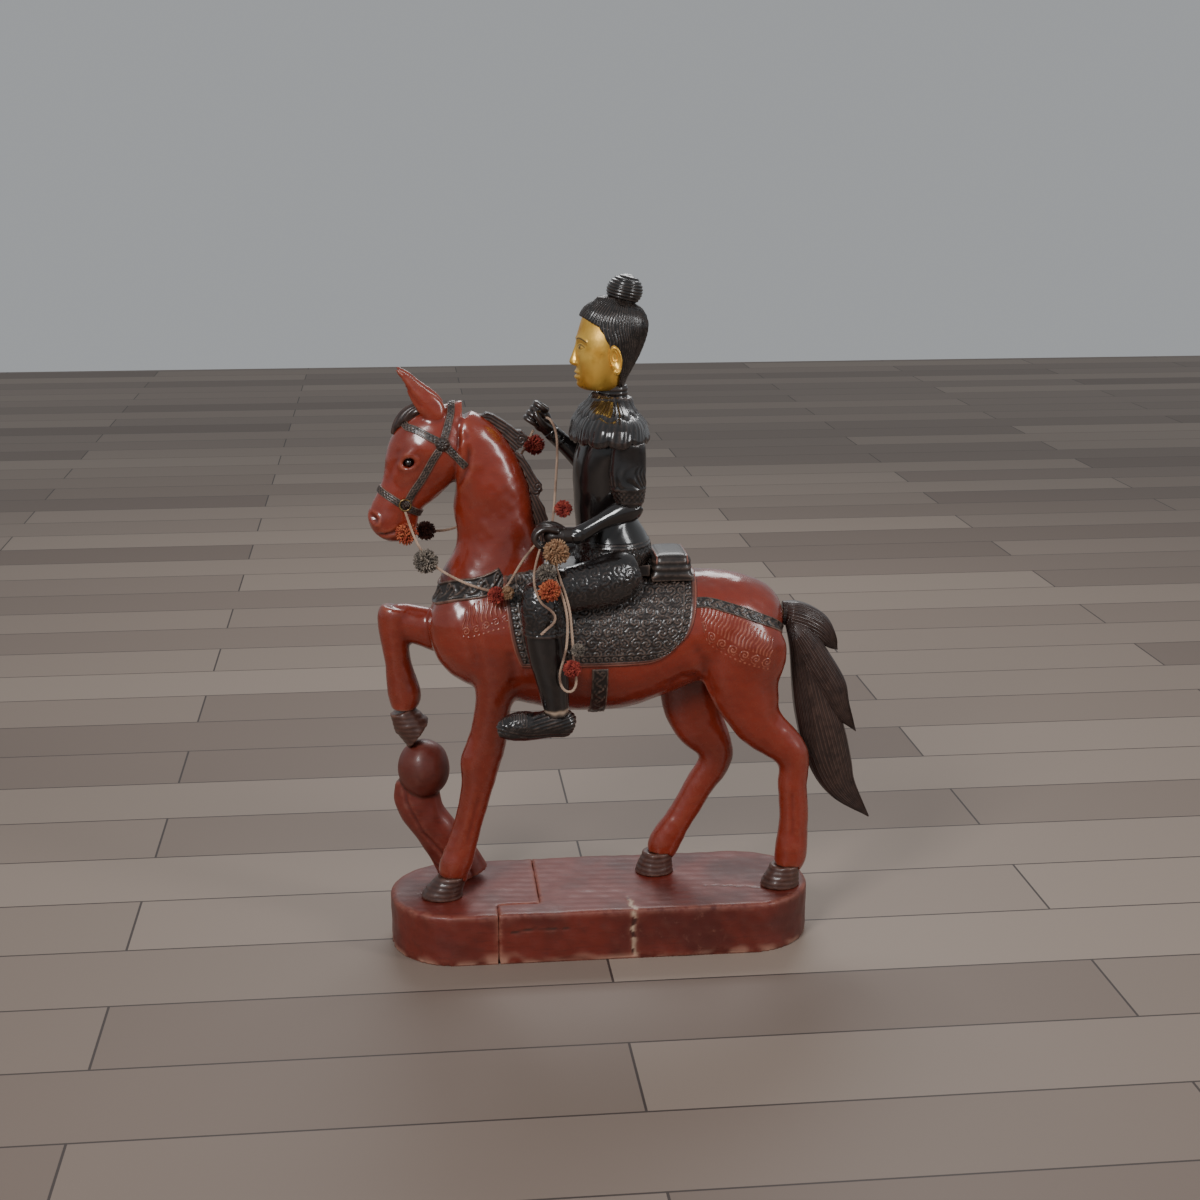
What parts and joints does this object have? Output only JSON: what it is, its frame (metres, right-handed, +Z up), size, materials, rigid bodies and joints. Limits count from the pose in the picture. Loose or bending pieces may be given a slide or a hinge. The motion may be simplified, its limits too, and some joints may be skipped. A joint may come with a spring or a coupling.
{
  "type": "carved horse and rider figure",
  "caption": "Lacquered wooden horse on a lapped plinth, one foreleg raised on a scroll, with a seated rider, saddle, bridle, cord reins and wool tufts.",
  "frame": {"origin": "centre of the plinth's underside", "axes": "+Z up, the horse looks along -X with its tail towards +X, its left side faces -Y"},
  "size_m": [0.7898, 0.2979, 1.0473],
  "materials": {
    "plinth_wood": "satin",
    "horse_lacquer": "gloss",
    "hoof_lacquer": "satin",
    "dark_carving": "satin",
    "cloth_carving": "satin",
    "rider_lacquer": "gloss",
    "rider_hair_lacquer": "satin",
    "gilded_skin": "gloss",
    "dark_hand": "gloss",
    "eye_glass": "gloss",
    "bare_dowel": "matte",
    "old_brass": "worn",
    "pale_cord": "twisted",
    "wool_grey": "fluffy",
    "wool_red": "fluffy",
    "wool_brown": "fluffy",
    "wool_orange": "fluffy",
    "wool_tan": "fluffy"
  },
  "bodies": {
    "figure": {"plinth_front_block": "plinth_wood", "plinth_main_block": "plinth_wood", "plinth_dowels": "bare_dowel", "foot_pegs": "bare_dowel", "leg_dowels": "bare_dowel", "neck_dowels": "bare_dowel", "rider_dowels": "bare_dowel", "tail_peg": "bare_dowel", "horse_trunk": "horse_lacquer", "horse_neck": "horse_lacquer", "horse_head": "horse_lacquer", "horse_ears": "horse_lacquer", "horse_eyes": "eye_glass", "left_foreleg": "horse_lacquer", "right_foreleg": "horse_lacquer", "left_hind_leg": "horse_lacquer", "right_hind_leg": "horse_lacquer", "planted_hooves": "hoof_lacquer", "right_fore_hoof": "hoof_lacquer", "raised_hoof_prop": "plinth_wood", "mane_lower_lock": "dark_carving", "mane_upper_lock": "dark_carving", "forelock": "dark_carving", "saddle_cloth": "cloth_carving", "girth": "dark_carving", "crupper_strap": "dark_carving", "breast_collar": "dark_carving", "saddle_seat": "dark_carving", "saddle_cantle": "dark_carving", "bridle_headstall": "dark_carving", "bridle_noseband": "dark_carving", "bridle_rosettes": "dark_carving", "bit_rings": "old_brass", "rider_torso": "rider_lacquer", "rider_head": "gilded_skin", "rider_hair": "rider_hair_lacquer", "rider_topknot": "rider_hair_lacquer", "rider_cape": "rider_lacquer", "rider_left_upper_arm": "rider_lacquer", "rider_left_forearm": "rider_lacquer", "rider_left_hand": "dark_hand", "rider_right_upper_arm": "rider_lacquer", "rider_right_forearm": "rider_lacquer", "rider_right_hand": "dark_hand", "rider_left_leg": "rider_lacquer", "rider_right_leg": "rider_lacquer", "rider_shoes": "rider_lacquer", "left_rein": "pale_cord", "right_rein": "pale_cord", "hand_rein": "pale_cord", "long_cord": "pale_cord", "short_cord": "pale_cord", "left_rein_tufts": "wool_grey", "right_rein_tufts": "wool_brown", "hand_rein_tuft": "wool_red", "fist_tufts": "wool_tan", "long_cord_tufts": "wool_red", "mouth_tufts": "wool_orange"},
    "tail": {"horse_tail": "dark_carving"}
  },
  "joints": [
    {"name": "tail_turn", "type": "hinge", "parent": "figure", "child": "tail", "pos_m": [0.28, 0, 0.521], "axis": [1, 0, 0], "range_deg": [-20, 20]}
  ]
}
